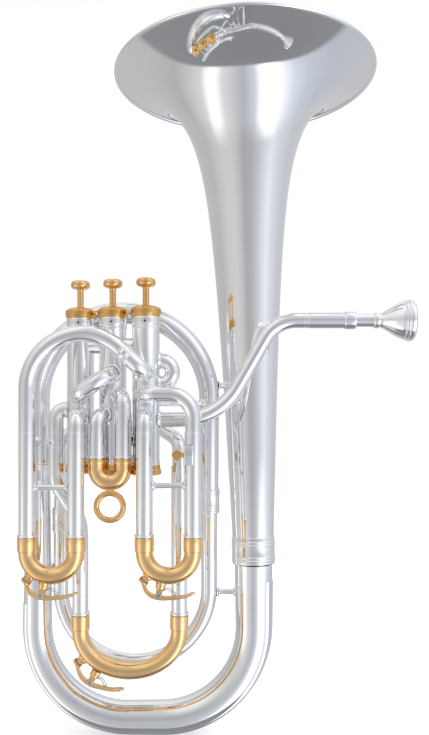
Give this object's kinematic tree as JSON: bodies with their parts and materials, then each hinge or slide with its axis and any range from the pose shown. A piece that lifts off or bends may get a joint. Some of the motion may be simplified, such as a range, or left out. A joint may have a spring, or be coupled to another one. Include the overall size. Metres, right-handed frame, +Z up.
{
  "type": "baritone horn",
  "caption": "Upright compensating valved brass horn with a flared bell, wound conical tubing, pull slides, sprung water keys and a cup mouthpiece.",
  "frame": {"origin": "the lowest point of the bottom bow, in the plane of the rear tubing, where a floor stand cradles it", "axes": "+Z up along the valves, +X from the valves towards the mouthpiece, +Y from the front slides to the back"},
  "size_m": [0.34, 0.2438, 0.6114],
  "materials": {
    "silver_plate": "mirror-polished silver plate on brass",
    "gold_plate": "satin gold plate on brass",
    "nickel_silver": "drawn nickel silver",
    "piston_metal": "lapped nickel alloy",
    "spring_steel": "drawn spring wire",
    "felt": "pressed wool felt"
  },
  "bodies": {
    "body": {"bell": "silver_plate", "bell_rim_bead": "silver_plate", "bell_ferrule": "silver_plate", "bottom_bow": "silver_plate", "bottom_bow_guard": "silver_plate", "bow_ferrules": "silver_plate", "rear_arch": "silver_plate", "inner_bow": "silver_plate", "return_tube": "silver_plate", "valve_3_exit_tube": "silver_plate", "main_slide_outer_legs": "silver_plate", "valve_1_casing": "silver_plate", "valve_2_casing": "silver_plate", "valve_3_casing": "silver_plate", "valve_link_tubes": "silver_plate", "top_valve_caps": "gold_plate", "bottom_valve_caps": "gold_plate", "valve_felts": "felt", "front_arch": "silver_plate", "front_arch_ferrule": "silver_plate", "slide_1_outer_legs": "silver_plate", "slide_2_outer_legs": "silver_plate", "slide_3_outer_legs": "silver_plate", "slide_end_rings": "silver_plate", "slide_elbows": "silver_plate", "valve_1_crook": "silver_plate", "valve_2_crook": "silver_plate", "leadpipe": "silver_plate", "mouthpiece_receiver": "silver_plate", "body_braces": "silver_plate", "lyre_box": "silver_plate"},
    "piston_1_set": {"piston_1": "piston_metal", "piston_stem_1": "gold_plate", "finger_button_1": "gold_plate", "piston_spring_1": "spring_steel"},
    "piston_2_set": {"piston_2": "piston_metal", "piston_stem_2": "gold_plate", "finger_button_2": "gold_plate", "piston_spring_2": "spring_steel"},
    "piston_3_set": {"piston_3": "piston_metal", "piston_stem_3": "gold_plate", "finger_button_3": "gold_plate", "piston_spring_3": "spring_steel"},
    "slide_1": {"slide_1_bow": "gold_plate", "slide_1_inner_legs": "nickel_silver", "water_key_mount_1": "gold_plate"},
    "slide_2": {"slide_2_bow": "gold_plate", "slide_2_inner_legs": "nickel_silver", "pull_ring": "gold_plate"},
    "slide_3": {"slide_3_bow": "gold_plate", "slide_3_inner_legs": "nickel_silver", "water_key_mount_3": "gold_plate"},
    "main_slide": {"main_slide_bow": "gold_plate", "main_slide_inner_legs": "nickel_silver", "water_key_mount_main": "gold_plate"},
    "water_key_lever_1": {"water_key_1": "gold_plate"},
    "water_key_lever_3": {"water_key_3": "gold_plate"},
    "water_key_lever_main": {"water_key_main": "gold_plate"},
    "lyre_thumb_screw": {"lyre_screw": "gold_plate"},
    "mouthpiece": {"mouthpiece": "silver_plate"}
  },
  "joints": [
    {"name": "piston_1_travel", "type": "slide", "parent": "body", "child": "piston_1_set", "axis": [0, 0, -1], "range_m": [0, 0.0125], "stiffness_N_per_m": 200, "springref_m": -0.015, "deforming": ["piston_spring_1"]},
    {"name": "piston_2_travel", "type": "slide", "parent": "body", "child": "piston_2_set", "axis": [0, 0, -1], "range_m": [0, 0.0125], "stiffness_N_per_m": 200, "springref_m": -0.015, "deforming": ["piston_spring_2"]},
    {"name": "piston_3_travel", "type": "slide", "parent": "body", "child": "piston_3_set", "axis": [0, 0, -1], "range_m": [0, 0.0125], "stiffness_N_per_m": 200, "springref_m": -0.015, "deforming": ["piston_spring_3"]},
    {"name": "slide_1_pull", "type": "slide", "parent": "body", "child": "slide_1", "axis": [0, 0, -1], "range_m": [0, 0.055]},
    {"name": "slide_2_pull", "type": "slide", "parent": "body", "child": "slide_2", "axis": [0, 0, -1], "range_m": [0, 0.014]},
    {"name": "slide_3_pull", "type": "slide", "parent": "body", "child": "slide_3", "axis": [0, 0, -1], "range_m": [0, 0.055]},
    {"name": "main_slide_pull", "type": "slide", "parent": "body", "child": "main_slide", "axis": [0, 0, -1], "range_m": [0, 0.05]},
    {"name": "water_key_1_press", "type": "hinge", "parent": "slide_1", "child": "water_key_lever_1", "pos_m": [0.0121, -0.06, 0.1395], "axis": [0, -1, 0], "range_deg": [0, 12], "stiffness_Nm_per_rad": 0.05, "springref_deg": -28.65},
    {"name": "water_key_3_press", "type": "hinge", "parent": "slide_3", "child": "water_key_lever_3", "pos_m": [-0.084, -0.06, 0.1395], "axis": [0, -1, 0], "range_deg": [0, 12], "stiffness_Nm_per_rad": 0.05, "springref_deg": -28.65},
    {"name": "water_key_main_press", "type": "hinge", "parent": "main_slide", "child": "water_key_lever_main", "pos_m": [-0.0487, -0.028, 0.0572], "axis": [0, -1, 0], "range_deg": [0, 12], "stiffness_Nm_per_rad": 0.05, "springref_deg": -28.65},
    {"name": "lyre_screw_turn", "type": "hinge", "parent": "body", "child": "lyre_thumb_screw", "pos_m": [0.037, -0.07035, 0.2545], "axis": [1, 0, 0], "range_deg": [0, 360]},
    {"name": "mouthpiece_pull", "type": "slide", "parent": "body", "child": "mouthpiece", "axis": [1, 0, 0], "range_m": [0, 0.03]}
  ]
}
